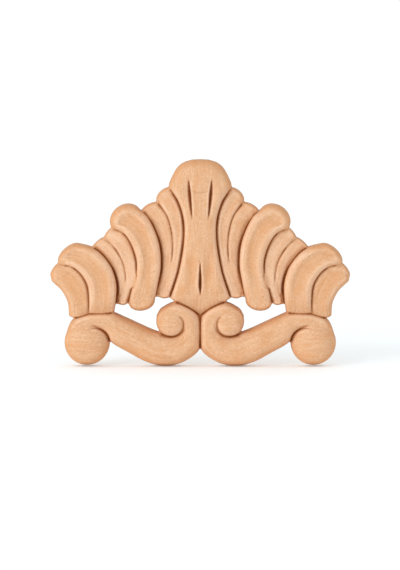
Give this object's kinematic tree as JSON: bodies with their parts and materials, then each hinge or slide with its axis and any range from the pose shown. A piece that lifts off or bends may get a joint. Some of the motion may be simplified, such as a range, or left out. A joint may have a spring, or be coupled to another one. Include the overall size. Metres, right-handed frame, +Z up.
{
  "type": "carved wood applique",
  "caption": "Symmetrical carved wood applique: a fan of fluted lobes around an upright stem, over a pair of S scrolls, flat at the back.",
  "frame": {"origin": "on the flat back, on the axis of symmetry and halfway up: the mount back", "axes": "+X across to the right as seen from the front, +Y out of the back, +Z up; the carving faces -Y"},
  "size_m": [0.11, 0.01, 0.076],
  "materials": {
    "beech": "raw, finely sanded, matt"
  },
  "bodies": {
    "root": {"carved_applique": "beech"}
  },
  "joints": []
}
